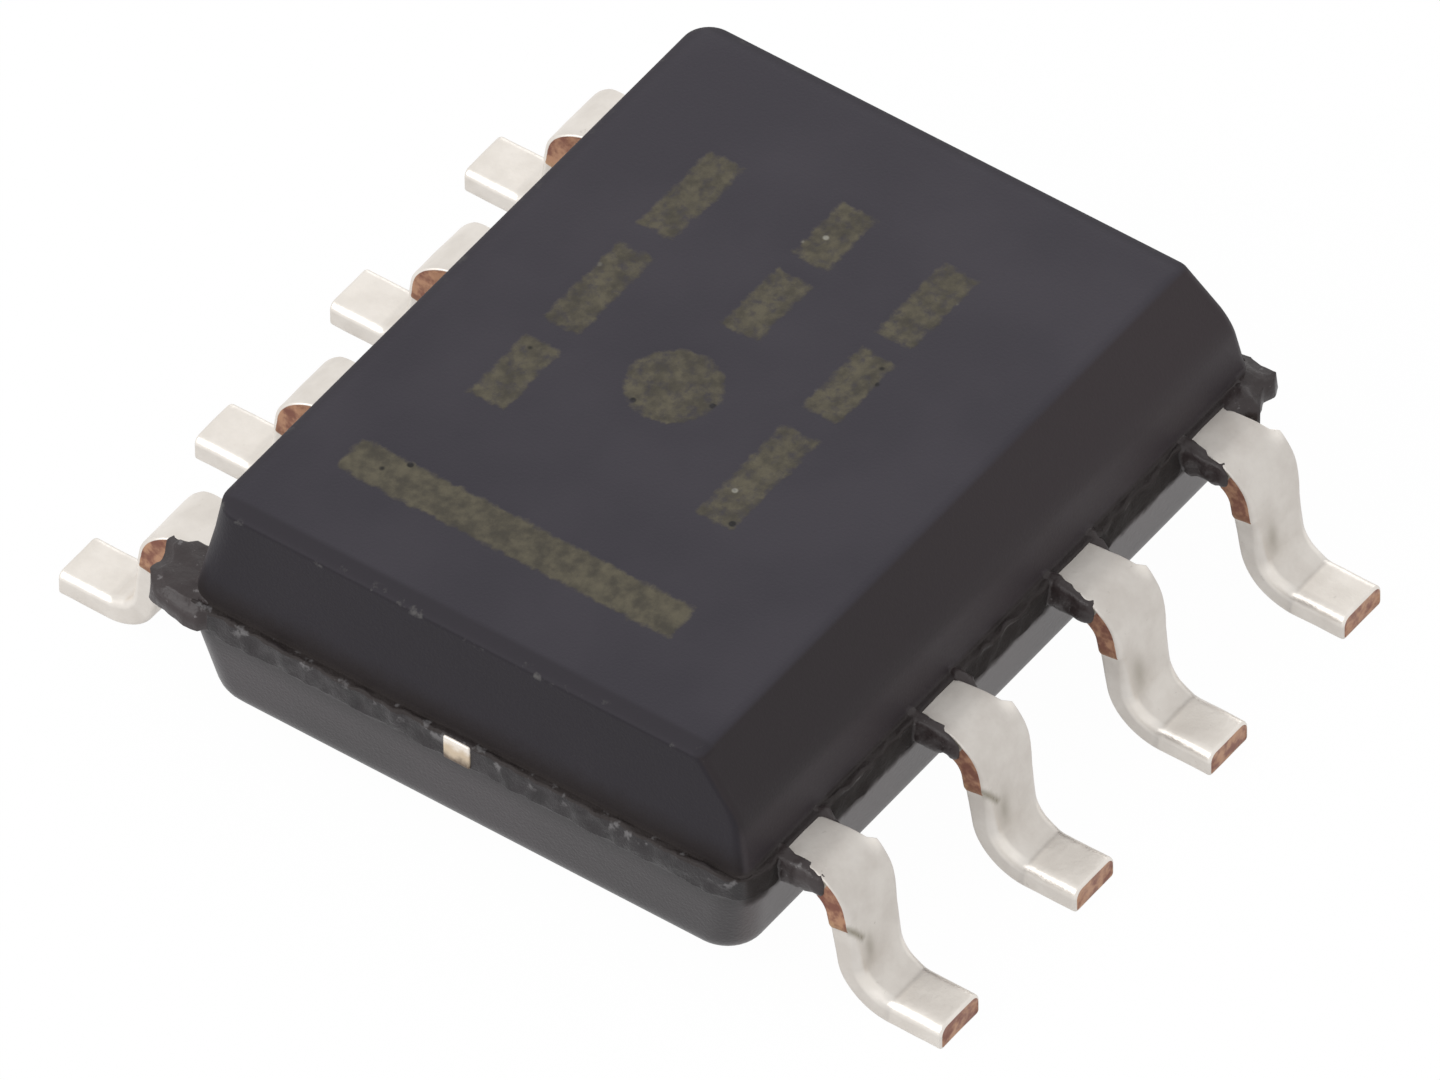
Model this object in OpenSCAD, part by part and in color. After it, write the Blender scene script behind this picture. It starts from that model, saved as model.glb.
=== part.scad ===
// Driver chip in an eight-lead small-outline package.
// An epoxy body is moulded round a stamped leadframe. A die is bonded to the frame's pad,
// and a wire runs from the die to each of the eight gull-wing leads.
// Millimetres. X runs along the body from the pin 1 end, Y across it towards pins 5 to 8,
// and Z up from the board that the lead feet stand on.

/* [Body] */
// Length of the body at its parting flange
body_length = 4.9; // [4.4:0.05:5.4]
// Width of the body at its parting flange
body_width = 3.9; // [3.5:0.05:4.3]
// Gap between the board and the underside of the body
standoff = 0.15; // [0.1:0.01:0.25]
// Height of the moulding below the leadframe
lower_height = 0.63; // [0.5:0.01:0.75]
// Height of the moulding above the leadframe
upper_height = 0.69; // [0.6:0.01:0.9]
// Draft of the two end walls, in degrees from the vertical
end_draft = 8; // [4:0.5:12]
// Draft of the two long side walls, in degrees from the vertical
side_draft = 11; // [5:0.5:15]
// Step from the parting flange in to the foot of the upper walls
upper_step = 0.05; // [0.02:0.01:0.1]
// Step from the parting flange in to the top of the lower walls
lower_step = 0.03; // [0.01:0.01:0.1]
// Plan radius of the four corners
corner_radius = 0.2; // [0.15:0.01:0.25]
// Rounding along the top edges
top_edge_radius = 0.07; // [0.03:0.01:0.1]
// Rounding along the bottom edges
bottom_edge_radius = 0.13; // [0.05:0.01:0.15]

/* [Bevel along the pin 1 side] */
// How far the bevel cuts in across the top
bevel_run = 0.24; // [0.1:0.01:0.3]
// How far the bevel cuts down the side
bevel_drop = 0.44; // [0.2:0.01:0.5]
// Plan radius of the two upper corners that the bevel runs out at
bevel_corner_radius = 0.08; // [0.07:0.01:0.15]

/* [Ejector mark] */
// Diameter of the round ejector mark in the underside
ejector_diameter = 1.1; // [0.6:0.05:1.6]
// Depth of the ejector mark
ejector_depth = 0.03; // [0.01:0.01:0.06]

/* [Leads] */
// Spacing of the leads along each side
lead_pitch = 1.27; // [1.15:0.01:1.3]
// Thickness of the leadframe
lead_thickness = 0.17; // [0.12:0.01:0.25]
// Width of a lead at its foot
lead_width = 0.37; // [0.3:0.01:0.42]
// Width of a lead at the top of its leg, which narrows down to the foot
leg_width = 0.42; // [0.36:0.01:0.42]
// Width of a lead where it leaves the body
neck_width = 0.35; // [0.28:0.01:0.4]
// Length of the level shoulder outside the body
shoulder_length = 0.18; // [0.12:0.01:0.3]
// Inner radius of the bend at the shoulder
shoulder_radius = 0.12; // [0.06:0.01:0.15]
// Inner radius of the bend at the heel
heel_radius = 0.2; // [0.1:0.01:0.25]
// Turn of each bend, in degrees
bend_angle = 80; // [70:1:88]
// Length of the flat foot
foot_length = 0.32; // [0.2:0.01:0.5]

/* [Dam-bar stubs] */
// Width of a lead across its sheared stubs
stub_width = 0.45; // [0.42:0.01:0.5]
// Turn of the shoulder bend at which the stubs start, in degrees
stub_start = 30; // [10:1:40]
// How far the stubs run down the leg below the shoulder bend
stub_drop = 0.1; // [0.05:0.01:0.15]
// Width of the resin web left on each side of a neck
web_width = 0.07; // [0.04:0.01:0.15]
// Thickness of the resin web, centred on the leadframe
web_thickness = 0.12; // [0.06:0.01:0.16]

/* [Leadframe inside the body] */
// Depth of each lead's finger inside the body
finger_length = 0.62; // [0.5:0.01:0.75]
// Width of the locking head at a finger's tip
head_width = 0.6; // [0.45:0.01:0.7]
// Length of the locking head
head_length = 0.3; // [0.2:0.01:0.4]
// Gap between the finger tips and the die pad
pad_gap = 0.25; // [0.15:0.01:0.35]
// Length of the tie bar from the pad to each end of the body
tie_length = 0.9; // [0.7:0.05:1.1]
// Width of the tie bars
tie_width = 0.18; // [0.12:0.01:0.3]

/* [Die] */
// Length of the die
die_length = 1.8; // [1.2:0.05:2.4]
// Width of the die
die_width = 1.4; // [0.9:0.05:1.7]
// Thickness of the die
die_thickness = 0.25; // [0.15:0.01:0.28]
// Thickness of the adhesive under the die
attach_thickness = 0.03; // [0.02:0.01:0.05]
// Margin of adhesive that shows round the die
attach_margin = 0.06; // [0.03:0.01:0.1]

/* [Bond wires] */
// Diameter of a bond wire
wire_diameter = 0.05; // [0.04:0.005:0.06]
// Diameter of the ball bond on the die
ball_diameter = 0.1; // [0.08:0.01:0.13]
// Height of the ball bond
ball_height = 0.03; // [0.02:0.005:0.04]
// Distance of the ball bonds from the edges of the die
ball_inset = 0.12; // [0.08:0.01:0.2]
// Height at which a wire starts to bend over
loop_rise = 0.08; // [0.05:0.01:0.12]
// Radius of the bend at the top of a wire's loop
loop_radius = 0.09; // [0.06:0.01:0.12]
// Diameter of the stitch bond on a finger
stitch_diameter = 0.14; // [0.1:0.01:0.18]
// Height of the stitch bond
stitch_height = 0.035; // [0.03:0.005:0.05]

/* [Hidden] */
pins_per_side = 4;
pins = 2 * pins_per_side;
frame_bottom = standoff + lower_height;
frame_top = frame_bottom + lead_thickness;
body_top = frame_top + upper_height;
heel_outer = heel_radius + lead_thickness;
shoulder_outer = shoulder_radius + lead_thickness;
bend_fall = 1 - cos(bend_angle);
leg_length = (frame_bottom - (shoulder_radius + heel_outer) * bend_fall) / sin(bend_angle);
shoulder_end = body_width / 2 + shoulder_length;
leg_run = leg_length * cos(bend_angle);
heel_y = shoulder_end + (shoulder_radius + heel_outer) * sin(bend_angle) + leg_run;
finger_tip = body_width / 2 - finger_length;
pad_width = 2 * (finger_tip - pad_gap);
pad_length = body_length - 2 * tie_length;
attach_top = frame_top + attach_thickness;
die_top = attach_top + die_thickness;
wire_radius = wire_diameter / 2;
ball_pitch = (die_length - 2 * ball_inset) / (pins_per_side - 1);
stitch_y = finger_tip + head_length / 2;
// Stretches in the bend at the top of a wire, and sides round it
loop_steps = 6;
wire_sides = 10;
// Thickness of a slice at the end of a hull, and how deep the webs are rooted in the flange
thin = 0.01;
web_root = 0.1;
// Facets of the rounded corners, and of every other curve
round_fn = 32;
$fn = 48;

// Pins count along the near side and back along the far side
function pin_side(pin) = pin <= pins_per_side ? -1 : 1;
function pin_column(pin) = pin <= pins_per_side ? pin - 1 : pins - pin;
function pin_offset(pin) = pin_column(pin) - (pins_per_side - 1) / 2;

// Places children, drawn with +Y outwards, at a pin
module at_pin(pin) {
    translate([pin_offset(pin) * lead_pitch, 0, 0])
        mirror([0, pin_side(pin) < 0 ? 1 : 0, 0])
            children();
}

// How far a drafted end or side wall leans in over this height
function end_lean(height) = height * tan(end_draft);
function side_lean(height) = height * tan(side_draft);

// Puts a child at the four corners of the body's plan, pulled in from the flange at each edge.
// The child takes the corner's own radius from $corner.
module at_corners(end_inset, side_inset, z, near_radius = corner_radius) {
    for (end = [-1, 1], side = [-1, 1])
        let ($corner = side < 0 ? near_radius : corner_radius)
            translate([
                end * (body_length / 2 - end_inset - $corner),
                side * (body_width / 2 - side_inset - $corner),
                z
            ])
                children();
}

// A corner post of the body's plan radius
module corner_post(height) {
    cylinder(r = $corner, h = height, $fn = round_fn);
}

// A ring that rounds both a corner and the edge beside it
module corner_ring(edge_radius) {
    rotate_extrude($fn = round_fn)
        intersection() {
            translate([$corner - edge_radius, 0]) circle(edge_radius, $fn = round_fn);
            translate([0, -edge_radius]) square([$corner, 2 * edge_radius]);
        }
}

// The upper walls, before the bevel is cut
module upper_block() {
    end_inset = upper_step + end_lean(upper_height);
    side_inset = upper_step + side_lean(upper_height);
    hull() {
        at_corners(upper_step, upper_step, frame_top - thin, bevel_corner_radius) corner_post(thin);
        at_corners(end_inset, side_inset, body_top - top_edge_radius, bevel_corner_radius)
            corner_ring(top_edge_radius);
    }
}

// The wedge that the bevel takes off, run on past the ends and past both of its edges
module bevel_wedge() {
    wall_y = body_width / 2 - upper_step;
    top_edge = [bevel_run + side_lean(upper_height) - wall_y, body_top];
    low_edge = [side_lean(upper_height - bevel_drop) - wall_y, body_top - bevel_drop];
    run_on = top_edge - low_edge;
    across(2 * body_length)
        polygon([low_edge - run_on, top_edge + run_on, top_edge + run_on - [body_width, 0]]);
}

module upper_half() {
    difference() {
        upper_block();
        bevel_wedge();
    }
}

module flange() {
    hull() at_corners(0, 0, frame_bottom) corner_post(lead_thickness);
}

module lower_half() {
    end_inset = lower_step + end_lean(lower_height);
    side_inset = lower_step + side_lean(lower_height);
    hull() {
        at_corners(lower_step, lower_step, frame_bottom) corner_post(thin);
        at_corners(end_inset, side_inset, standoff + bottom_edge_radius)
            corner_ring(bottom_edge_radius);
    }
}

// Resin left between the flange and the stubs, on both sides of a neck
module resin_web() {
    web_x = neck_width + 2 * web_width;
    web_z = frame_bottom + (lead_thickness - web_thickness) / 2;
    translate([-web_x / 2, body_width / 2 - web_root, web_z])
        cube([web_x, web_root + shoulder_length, web_thickness]);
}

module ejector_mark() {
    translate([0, 0, standoff - thin])
        cylinder(d = ejector_diameter, h = ejector_depth + thin);
}

module body() {
    color("#45434a")
        difference() {
            union() {
                upper_half();
                flange();
                lower_half();
                for (pin = [1 : pins]) at_pin(pin) resin_web();
            }
            ejector_mark();
            for (pin = [1 : pins]) at_pin(pin) finger();
            die_pad();
            die_attach();
            die();
            for (pin = [1 : pins]) bond_wire(pin);
        }
}

// Stands a profile drawn in Y and Z upright, with this width along X
module across(width) {
    rotate([90, 0, 90])
        translate([0, 0, -width / 2])
            linear_extrude(width)
                children();
}

// Part of a bend's section: a sector of a ring, between two turns from the top
module bend_sector(inner, outer, from, to) {
    far = 2 * outer;
    intersection() {
        difference() {
            circle(outer);
            circle(inner);
        }
        polygon([
            [0, 0],
            far * [sin(from), cos(from)],
            2 * far * [sin((from + to) / 2), cos((from + to) / 2)],
            far * [sin(to), cos(to)]
        ]);
    }
}

module shoulder_bend_profile(from, to) {
    translate([shoulder_end, frame_bottom - shoulder_radius])
        bend_sector(shoulder_radius, shoulder_outer, from, to);
}

module heel_bend_profile() {
    translate([heel_y, heel_outer])
        rotate(180)
            bend_sector(heel_radius, heel_outer, 0, bend_angle);
}

// The straight leg between the bends, or its upper part
module leg_profile(length) {
    translate([shoulder_end, frame_bottom - shoulder_radius])
        rotate(-bend_angle)
            translate([0, shoulder_radius])
                square([length, lead_thickness]);
}

module foot_profile() {
    translate([heel_y, 0]) square([foot_length, lead_thickness]);
}

// The flat finger that holds a lead in the body, and the shoulder outside it
module finger() {
    translate([-neck_width / 2, finger_tip, frame_bottom])
        cube([neck_width, finger_length + shoulder_length, lead_thickness]);
    translate([-head_width / 2, finger_tip, frame_bottom])
        cube([head_width, head_length, lead_thickness]);
}

module lead(pin) {
    color("#d2cdc8")
        at_pin(pin) {
            finger();
            across(neck_width) shoulder_bend_profile(0, stub_start);
            across(stub_width) {
                shoulder_bend_profile(stub_start, bend_angle);
                leg_profile(stub_drop);
            }
            hull() {
                across(leg_width) leg_profile(thin);
                across(lead_width) leg_profile(leg_length);
            }
            across(lead_width) {
                heel_bend_profile();
                foot_profile();
            }
        }
}

module die_pad() {
    color("#b8866b") {
        translate([-pad_length / 2, -pad_width / 2, frame_bottom])
            cube([pad_length, pad_width, lead_thickness]);
        translate([-body_length / 2, -tie_width / 2, frame_bottom])
            cube([body_length, tie_width, lead_thickness]);
    }
}

module die_attach() {
    attach_length = die_length + 2 * attach_margin;
    attach_width = die_width + 2 * attach_margin;
    color("#a9a9a4")
        translate([-attach_length / 2, -attach_width / 2, frame_top])
            cube([attach_length, attach_width, attach_thickness]);
}

module die() {
    color("#5b6170")
        translate([-die_length / 2, -die_width / 2, attach_top])
            cube([die_length, die_width, die_thickness]);
}

// A wire's route in its own upright plane: up from the ball, over the loop, then straight to the stitch
function wire_route(reach, fall) =
    let (
        to_end = [reach - loop_radius, wire_radius - fall - loop_rise],
        slope = asin(loop_radius / norm(to_end)) - atan2(to_end[1], to_end[0]),
        turn = 90 + slope
    )
    concat(
        [[0, ball_height / 2]],
        [for (step = [0 : loop_steps])
            let (angle = 180 - turn * step / loop_steps)
            [loop_radius * (1 + cos(angle)), loop_rise + loop_radius * sin(angle)]],
        [[reach, wire_radius - fall]]
    );

// The direction of a route at one of its points, between the stretches before and after it
function unit(v) = v / norm(v);
function heading(route, i) =
    unit(unit(route[min(i + 1, len(route) - 1)] - route[min(i, len(route) - 2)])
        + unit(route[max(i, 1)] - route[max(i - 1, 0)]));

// A round tube swept along a route in X and Z
module tube(route, radius) {
    last = len(route) - 1;
    points = [
        for (i = [0 : last], side = [0 : wire_sides - 1])
            let (
                along = heading(route, i),
                out = radius * cos(360 * side / wire_sides),
                aside = radius * sin(360 * side / wire_sides)
            )
            [route[i][0] - along[1] * out, aside, route[i][1] + along[0] * out]
    ];
    walls = [
        for (i = [0 : last - 1], side = [0 : wire_sides - 1])
            let (
                here = i * wire_sides + side,
                next = i * wire_sides + (side + 1) % wire_sides
            )
            [here, next, next + wire_sides, here + wire_sides]
    ];
    start_cap = [for (side = [wire_sides - 1 : -1 : 0]) side];
    end_cap = [for (side = [0 : wire_sides - 1]) last * wire_sides + side];
    polyhedron(points, concat(walls, [start_cap, end_cap]));
}

// A wire with its ball at the origin and its stitch at this reach and this far down
module wire_loop(reach, fall) {
    cylinder(d = ball_diameter, h = ball_height);
    tube(wire_route(reach, fall), wire_radius);
    translate([reach, 0, -fall]) cylinder(d = stitch_diameter, h = stitch_height);
}

module bond_wire(pin) {
    ball = [pin_offset(pin) * ball_pitch, die_width / 2 - ball_inset];
    stitch = [pin_offset(pin) * lead_pitch, stitch_y];
    span = stitch - ball;
    color("#c9a13a")
        mirror([0, pin_side(pin) < 0 ? 1 : 0, 0])
            translate([ball[0], ball[1], die_top])
                rotate(atan2(span[1], span[0]))
                    wire_loop(norm(span), die_top - frame_top);
}

body();
for (pin = [1 : pins]) lead(pin);
die_pad();
die_attach();
die();
for (pin = [1 : pins]) bond_wire(pin);
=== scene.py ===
# Driver chip: the looks of an eight-lead small-outline package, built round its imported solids.
from itertools import accumulate
from math import atan2, ceil, copysign, cos, exp, hypot, pi, radians, sin, sqrt, tan

import bmesh
import bpy
from mathutils import Matrix, Vector, noise
from mathutils.geometry import delaunay_2d_cdt


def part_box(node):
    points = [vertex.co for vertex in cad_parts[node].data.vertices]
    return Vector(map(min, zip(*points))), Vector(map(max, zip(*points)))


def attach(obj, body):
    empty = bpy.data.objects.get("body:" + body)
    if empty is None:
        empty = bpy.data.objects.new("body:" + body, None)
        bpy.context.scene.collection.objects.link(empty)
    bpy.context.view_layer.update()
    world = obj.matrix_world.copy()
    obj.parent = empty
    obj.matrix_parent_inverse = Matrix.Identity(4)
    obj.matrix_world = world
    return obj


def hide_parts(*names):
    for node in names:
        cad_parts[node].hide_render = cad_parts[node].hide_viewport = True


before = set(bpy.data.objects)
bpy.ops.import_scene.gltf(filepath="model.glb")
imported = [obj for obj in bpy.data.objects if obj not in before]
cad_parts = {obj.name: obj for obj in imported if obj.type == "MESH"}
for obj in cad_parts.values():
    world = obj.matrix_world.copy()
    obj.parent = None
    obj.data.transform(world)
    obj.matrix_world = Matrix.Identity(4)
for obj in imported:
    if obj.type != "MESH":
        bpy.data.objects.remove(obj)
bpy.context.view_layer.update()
scene = bpy.context.scene
MM = 0.001

# Body sizes, as in the solids
body_low, body_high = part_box("body")
frame_low, frame_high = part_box("die_pad")
HALF_X = body_high.x
HALF_Y = 1.95 * MM
BODY_BOTTOM = body_low.z
BODY_TOP = body_high.z
FRAME_BOTTOM = frame_low.z
FRAME_TOP = frame_high.z
THICKNESS = FRAME_TOP - FRAME_BOTTOM
HALF_THICK = THICKNESS / 2
FRAME_MIDDLE = FRAME_BOTTOM + HALF_THICK
END_DRAFT = radians(8)
SIDE_DRAFT = radians(11)
UPPER_STEP = 0.05 * MM
LOWER_STEP = 0.03 * MM
CORNER_RADIUS = 0.2 * MM
BEVEL_RUN = 0.24 * MM
EJECTOR_RADIUS = 0.55 * MM
EJECTOR_DEPTH = 0.03 * MM

# How far the bevel comes down the side, a little less than in the solids
BEVEL_DROP = 0.33 * MM

# How far each edge's rounding reaches along the faces beside it; at the top, (down the wall, over the top)
BOTTOM_REACH = 0.145 * MM
CROWN_REACH = (0.03 * MM, 0.14 * MM)
BEVEL_TOP_REACH = (0.05 * MM, 0.05 * MM)
BEVEL_LOW_REACH = 0.08 * MM
FLANGE_REACH = 0.022 * MM
LIP_REACH = LOWER_STEP / 3
INNER_REACH = 0.012 * MM
EJECTOR_EDGE = 0.01 * MM

# Plan radii of the body's corners, above the flange (foot, waist, crown), and how far in its flats start
BASE_RADIUS = CORNER_RADIUS / 2
BOTTOM_RADIUS = 0.22 * MM
PLAIN_RADII = (CORNER_RADIUS, CORNER_RADIUS, 0.166 * MM)
BEVEL_RADII = (0.08 * MM, 0.06 * MM, 0.06 * MM)
FACE_RADIUS = 0.03 * MM
BASE_MARGIN = 0.19 * MM
FACE_MARGIN = 0.18 * MM

# Fineness of the body's mesh; the stretch steps run up a wall's section from the underside
RING_SPACING = 0.035 * MM
CORNER_STEPS = 10
EDGE_STEPS = 7
STRETCH_STEPS = (1, 10, 1, 4, 1, 6, 9, 2)
TOP_SPACING = 0.025 * MM
BASE_SPACING = 0.12 * MM
GRID_INSET = 0.6
EJECTOR_SIDES = 64
INSIDE_ONLY = 1
MERGE_DISTANCE = 1e-9

# Broken flash along the flange: its reach past the metal, how squarely a straight wall faces an axis, and its
# waves, (size in mm, height in mm, seed). Each step of a seed moves a pattern
FLANGE_UNDER = 0.01 * MM
FLANGE_OVER = 0.03 * MM
STRAIGHT = 0.9
FLANGE_WIDE = (0.3, 0.012, 3)
FLANGE_FINE = (0.08, 0.02, 7)
FLANGE_LIFT = (0.11, 0.03, 9)
FLANGE_DIP = -0.006
CALM_REACH = 0.12 * MM
SILL = 0.012 * MM
SEED_STEP = (1.0, 0.7, 1.3)

# Leads, as in the solids, with half their widths
far_lead_low, far_lead_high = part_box("lead_8")
PINS_PER_SIDE = 4
PINS = 2 * PINS_PER_SIDE
PITCH = 1.27 * MM
FINGER_TIP = far_lead_low.y
FOOT_END = far_lead_high.y
SHOULDER_END = HALF_Y + 0.18 * MM
SHOULDER_RADIUS = 0.12 * MM
HEEL_RADIUS = 0.2 * MM
BEND = radians(80)
HEAD_HALF = 0.3 * MM
HEAD_LENGTH = 0.3 * MM
NECK_HALF = 0.175 * MM
STUB_HALF = 0.225 * MM
LEG_HALF = 0.21 * MM
LEAD_HALF = 0.185 * MM
HEAD_STEP = 0.012 * MM
STUB_START = radians(30)
STUB_DROP = 0.1 * MM

# How a stub runs out below on each hand, and how far above it a lead is bare on each side of the body
STUB_RUN_OUT = {-1: 0.03 * MM, 1: 0.14 * MM}
BARE_BACK = {-1: 0.0, 1: 0.12 * MM}

# How the neck widens: at the body, then (distance before the stub, half width) on each hand
EXIT_HALF = 0.16 * MM
EXIT_STEP = 0.03 * MM
FLARE = {-1: (0.107 * MM, 0.2 * MM), 1: (0.02 * MM, 0.185 * MM)}

# The crease at a heel: how far behind the end of the bend, and where the straight before it starts
CREASE_BACK = 0.034 * MM
CREASE_TURN = radians(38)

# Rounding of the leads' stamped edges, and fineness of their mesh
NECK_EDGE = 0.012 * MM
STUB_EDGE = 0.035 * MM
ROLLED_EDGE = {-1: 0.068 * MM, 1: 0.055 * MM}
LOWER_EDGE = 0.03 * MM
LEAST_EDGE = 0.004 * MM
TOE_ROUND = 0.018 * MM
TOE_STEPS = 6
TOE_RINGS = (0.004 * MM, 0.016 * MM)
STATION_SPACING = 0.016 * MM
ACROSS_STEPS = 18
SIDE_STEPS = 6
ROUND_STEPS = 5

# Tool marks: a smear on each leg, a scar from a stub of two near leads, and a burr on the other stub of every
# near lead, with a painted highlight on the burr. The smear varies from lead to lead by waves, with a pin for
# a millimetre
SMEAR_ACROSS = -0.1 * MM
SMEAR_DOWN = 0.72
SMEAR_SIZE = (0.045 * MM, 0.1 * MM)
SMEAR_WAVES = (1.7, 0.4, 6)
SMEAR_STRENGTH = 0.42
SCARRED = (1, 2)
SCAR_RUN = (0.085 * MM, 0.12 * MM)
SCAR_WIDTH = 0.028 * MM
SCAR_STRENGTH = 0.85
SCAR_DEPTH = 0.005 * MM
BURR_INSET = 0.03 * MM
BURR_SIZE = 0.04 * MM
BURR_HEIGHT = 0.016 * MM
LEAD_WAVES = (0.16, 0.004, 5)

# Dull film and painted shade at the shoulder, the end of its bend, the heel, before and at the crease, the
# foot and the toe, and the share of it on each side of the body; the shade is strongest on the near side, on
# the heel and in the crease
FILM_AND_SHADE = (1.0, 0.7, 0.65, 0.7, 0.95, 0.2, 0.05)
FILM_AND_SHADE_SHARE = {-1: 1.0, 1: 0.3}
SIDE_FILM = 0.55
# Painted shade on the sheared sides of the neck, carried with the stains
NECK_SIDE_SHADE = 0.85

# Burnish of the edges at the stub's two ends and the heel, and a painted highlight that takes the film away
# round the heel
BURNISH = (0.0, 0.4, 1.0)
HEEL_HIGHLIGHT = (0.0, 1.0, 0.8, 0.2)
HEEL_HIGHLIGHT_REACH = 0.1 * MM
CREASE_FADE = 0.03 * MM

# Where the flat and upper faces start, in half thicknesses, and the toe, in its rounding
FLAT_SHARE = 0.999
UPPER_SHARE = 0.5
TOE_SHARE = 0.9

# Resin left beside the necks; on each hand (reach, fall, overlap at the tip, width of the tip) in mm
WEB_HANDS = {-1: (0.3, 0.03, 0.05, 0.1), 1: (0.13, 0.07, 0.01, 0.035)}
WEB_WIDTH = 0.07 * MM
WEB_OVERLAP = 0.04 * MM
WEB_ROOT = 0.06 * MM
WEB_FAR_REACH = 0.2 * MM
WEB_RISE = 0.02 * MM
WEB_UNDER = 0.02 * MM
WEB_TIP_HEIGHT = 0.15 * MM
WEB_BLUNT_TIP = 4
WEB_BLUNT = 3
WEB_STEPS = 14
WEB_SIDES = 24
WEB_WAVES = (0.07, 0.022, 0)
WEB_RIPPLES = (0.03, 0.01, 0)
WEB_SEED_STEP = (2.1, 0.4)

# Flash at two corners of the flange: plan outlines in mm that start and end inside the body
FLASH_PIN_8 = [
    (-1.95, 1.7), (-2.0, 2.1), (-2.07, 2.19), (-2.13, 2.2), (-2.19, 2.165), (-2.28, 2.14), (-2.36, 2.145),
    (-2.43, 2.1), (-2.475, 2.03), (-2.485, 1.88), (-2.49, 1.74), (-2.3, 1.5),
]
FLASH_PIN_4 = [
    (2.0, -1.8), (2.02, -2.04), (2.12, -2.05), (2.18, -2.1), (2.26, -2.06), (2.33, -2.03), (2.4, -2.05),
    (2.46, -2.02), (2.45, -1.93), (2.47, -1.84), (2.43, -1.7),
]
FLASHED = {(8, -1): FLASH_PIN_8, (4, 1): FLASH_PIN_4}
FLASH_EDGE = 0.02 * MM
FLASH_SLOPE = 0.05 * MM
FLASH_SPACING = 0.025 * MM
FLASH_TURNS = (-90, -50, -20, 0, 20, 50, 90)
FLASH_SHARES = (0.2, 0.5, 0.8)
FLASH_WAVES = (0.09, 0.022, 0)
FLASH_RIPPLES = (0.035, 0.005, 0)
FLASH_LIFT = (0.12, 0.012, 4)
FLASH_SEED_STEP = 0.9

# Order of the body's finishes, the height where they change, and the normals of its end walls
UPPER, LOWER, FLASH = range(3)
FINISH_DROP = 0.02 * MM
END_NORMAL = (0.5, 0.75)

# Tie bars and pad
TIE_HALF = 0.09 * MM
TIE_PROUD = 0.012 * MM
PAD_HALF_X = HALF_X - 0.9 * MM
PAD_HALF_Y = frame_high.y
FRAME_EDGE = 0.012 * MM
FRAME_EDGE_STEPS = 3

# Marks burnt into the top, in mm: plain fields (centre x, y, half length, half width), a disc (centre x, y,
# radius), and the mean share of the depth burnt away, with its waves
MARK_BAR = (-1.545, 0.25, 0.135, 1.13)
MARK_BLOCKS = [
    (-0.52, 1.0, 0.27, 0.12), (0.27, 1.0, 0.36, 0.12), (1.14, 1.0, 0.34, 0.12),
    (0.7, 0.17, 0.26, 0.12), (1.34, 0.17, 0.24, 0.12),
    (-0.4, -0.56, 0.41, 0.12), (0.46, -0.56, 0.28, 0.12), (1.2, -0.56, 0.32, 0.12),
]
MARK_DISC = (-0.1, 0.22, 0.28)
MARK_REACH = 0.06 * MM
FAINT_MARK = 0.62
MARK_DEPTH = 0.006 * MM
MARK_ROOM = 3 * MARK_DEPTH
MARK_RELIEF = 0.6
MARK_WAVES = (0.05, 0.3, 11)


def clamp(value):
    """A number kept from 0 to 1."""
    return min(max(value, 0.0), 1.0)


def loft_faces(rings, count):
    """Faces between rings of points, each ring closed on itself."""
    faces = []
    for r in range(rings - 1):
        for k in range(count):
            here, there = r * count + k, r * count + (k + 1) % count
            faces.append((here, there, there + count, here + count))
    return faces


def waves(point, pattern, shift=0):
    """A smooth random height about zero, from a pattern of waves with its seed shifted."""
    size, height, seed = pattern
    start = Vector([(seed + shift) * step for step in SEED_STEP])
    return noise.noise(Vector(point) / (size * MM) + start) * height


def add_object(name, data):
    """Puts a mesh, a lamp or a camera into the scene."""
    piece = bpy.data.objects.new(name, data)
    scene.collection.objects.link(piece)
    return piece


def make_object(name, verts, faces, materials):
    """A smooth-shaded mesh object with its faces turned outwards."""
    mesh = bpy.data.meshes.new(name)
    mesh.from_pydata([tuple(v) for v in verts], [], faces)
    shape = bmesh.new()
    shape.from_mesh(mesh)
    bmesh.ops.recalc_face_normals(shape, faces=shape.faces)
    shape.to_mesh(mesh)
    shape.free()
    for material in materials:
        mesh.materials.append(material)
    mesh.shade_smooth()
    return add_object(name, mesh)


def set_attribute(mesh, name, values):
    """Stores one number for each vertex, for a material to read."""
    mesh.attributes.new(name, "FLOAT", "POINT").data.foreach_set("value", values)


# Materials
class Nodes:
    """A node tree, with short ways to add nodes and wire them."""

    def __init__(self, owner):
        owner.use_nodes = True
        self.tree = owner.node_tree

    def put(self, socket, value):
        """Wires or sets a socket; colours, in linear red, green and blue, become opaque."""
        if isinstance(value, bpy.types.NodeSocket):
            self.tree.links.new(value, socket)
        else:
            socket.default_value = (*value, 1.0) if isinstance(value, tuple) else value

    def node(self, kind, inputs=(), **settings):
        """Adds a shader node and returns its outputs."""
        made = self.tree.nodes.new(f"ShaderNode{kind}")
        for name, value in settings.items():
            setattr(made, name, value)
        for name, value in dict(inputs).items():
            self.put(made.inputs[name], value)
        return made.outputs

    def math(self, operation, a, b=0.0):
        return self.node("Math", {0: a, 1: b}, operation=operation)[0]

    def times(self, a, b):
        return self.math("MULTIPLY", a, b)

    def most(self, a, b):
        return self.math("MAXIMUM", a, b)

    def scale(self, value, low, high):
        """Maps 0 to 1 onto low to high."""
        return self.node("MapRange", {"Value": value, "To Min": low, "To Max": high})["Result"]


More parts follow.
